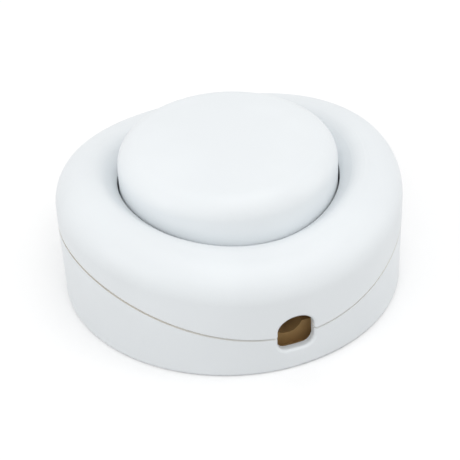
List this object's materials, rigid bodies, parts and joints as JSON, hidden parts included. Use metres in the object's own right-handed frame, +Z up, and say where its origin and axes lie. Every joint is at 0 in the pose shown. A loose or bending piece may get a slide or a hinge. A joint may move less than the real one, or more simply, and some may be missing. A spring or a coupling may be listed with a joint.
{
  "type": "foot switch",
  "caption": "White round in-line foot switch for a floor lamp cord, with an arched two-part housing and a large domed push button.",
  "frame": {"origin": "centre of the housing's flat underside", "axes": "+Z up through the button, Y along the cord with the entry seen in the picture at -Y, X across"},
  "size_m": [0.06, 0.06, 0.0281],
  "materials": {
    "housing_white": "satin",
    "button_white": "satin",
    "mechanism_plastic": "matte",
    "terminal_brass": "satin",
    "contact_bronze": "satin",
    "contact_silver": "satin",
    "spring_steel": "satin",
    "zinc_screw": "satin"
  },
  "bodies": {
    "housing": {"base": "housing_white", "cover": "housing_white", "return_spring": "spring_steel", "pivot_pin": "spring_steel", "rotor_keeper": "mechanism_plastic", "line_terminal_in": "terminal_brass", "line_terminal_out": "terminal_brass", "leaf_contact_in": "contact_bronze", "leaf_contact_out": "contact_bronze", "contact_rivets": "contact_silver", "neutral_terminal": "terminal_brass", "terminal_screws": "zinc_screw", "cord_clamp_rear": "housing_white", "cord_clamp_front": "housing_white", "cord_clamp_screws": "zinc_screw", "housing_screws": "zinc_screw"},
    "button": {"push_button": "button_white", "drive_sleeve": "mechanism_plastic"},
    "rotor": {"index_rotor": "mechanism_plastic", "contact_cross": "contact_bronze"}
  },
  "joints": [
    {"name": "button_press", "type": "slide", "parent": "housing", "child": "button", "axis": [0, 0, -1], "range_m": [0, 0.0045], "stiffness_N_per_m": 2200, "springref_m": -0.003, "deforming": ["return_spring"]},
    {"name": "rotor_turn", "type": "hinge", "parent": "housing", "child": "rotor", "pos_m": [0, 0, 0.005], "axis": [0, 0, -1], "range_deg": [0, 45]}
  ],
  "couplings": [
    {"joint": "rotor_turn", "follows": "button_press", "rad_per_m": 174.53}
  ]
}
